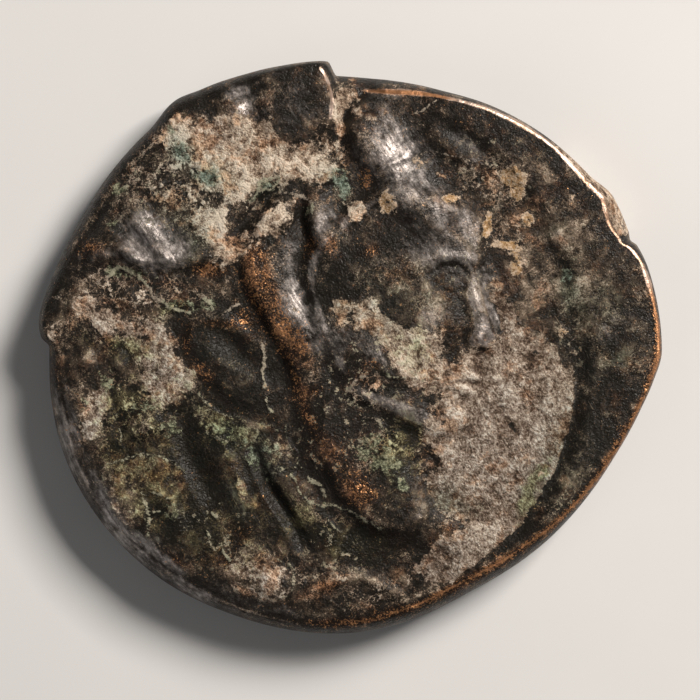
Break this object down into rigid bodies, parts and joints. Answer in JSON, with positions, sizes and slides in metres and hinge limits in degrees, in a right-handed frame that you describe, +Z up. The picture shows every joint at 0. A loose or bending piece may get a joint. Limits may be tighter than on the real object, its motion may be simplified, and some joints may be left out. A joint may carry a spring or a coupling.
{
  "type": "ancient bronze coin",
  "caption": "Ancient struck bronze coin with a worn head facing right in an animal-skin headdress, patinated, lying on its reverse.",
  "frame": {"origin": "under the middle of the coin's box, on the plane that it lies on", "axes": "+Z up out of the obverse, +X the way the head faces, +Y the top of the portrait"},
  "size_m": [0.02, 0.0184, 0.0031],
  "materials": {
    "bronze": "dark brown-black patina, satin where worn, with tan and green earthy deposits and bare copper on the ridges"
  },
  "bodies": {
    "root": {"coin": "bronze"}
  },
  "joints": []
}
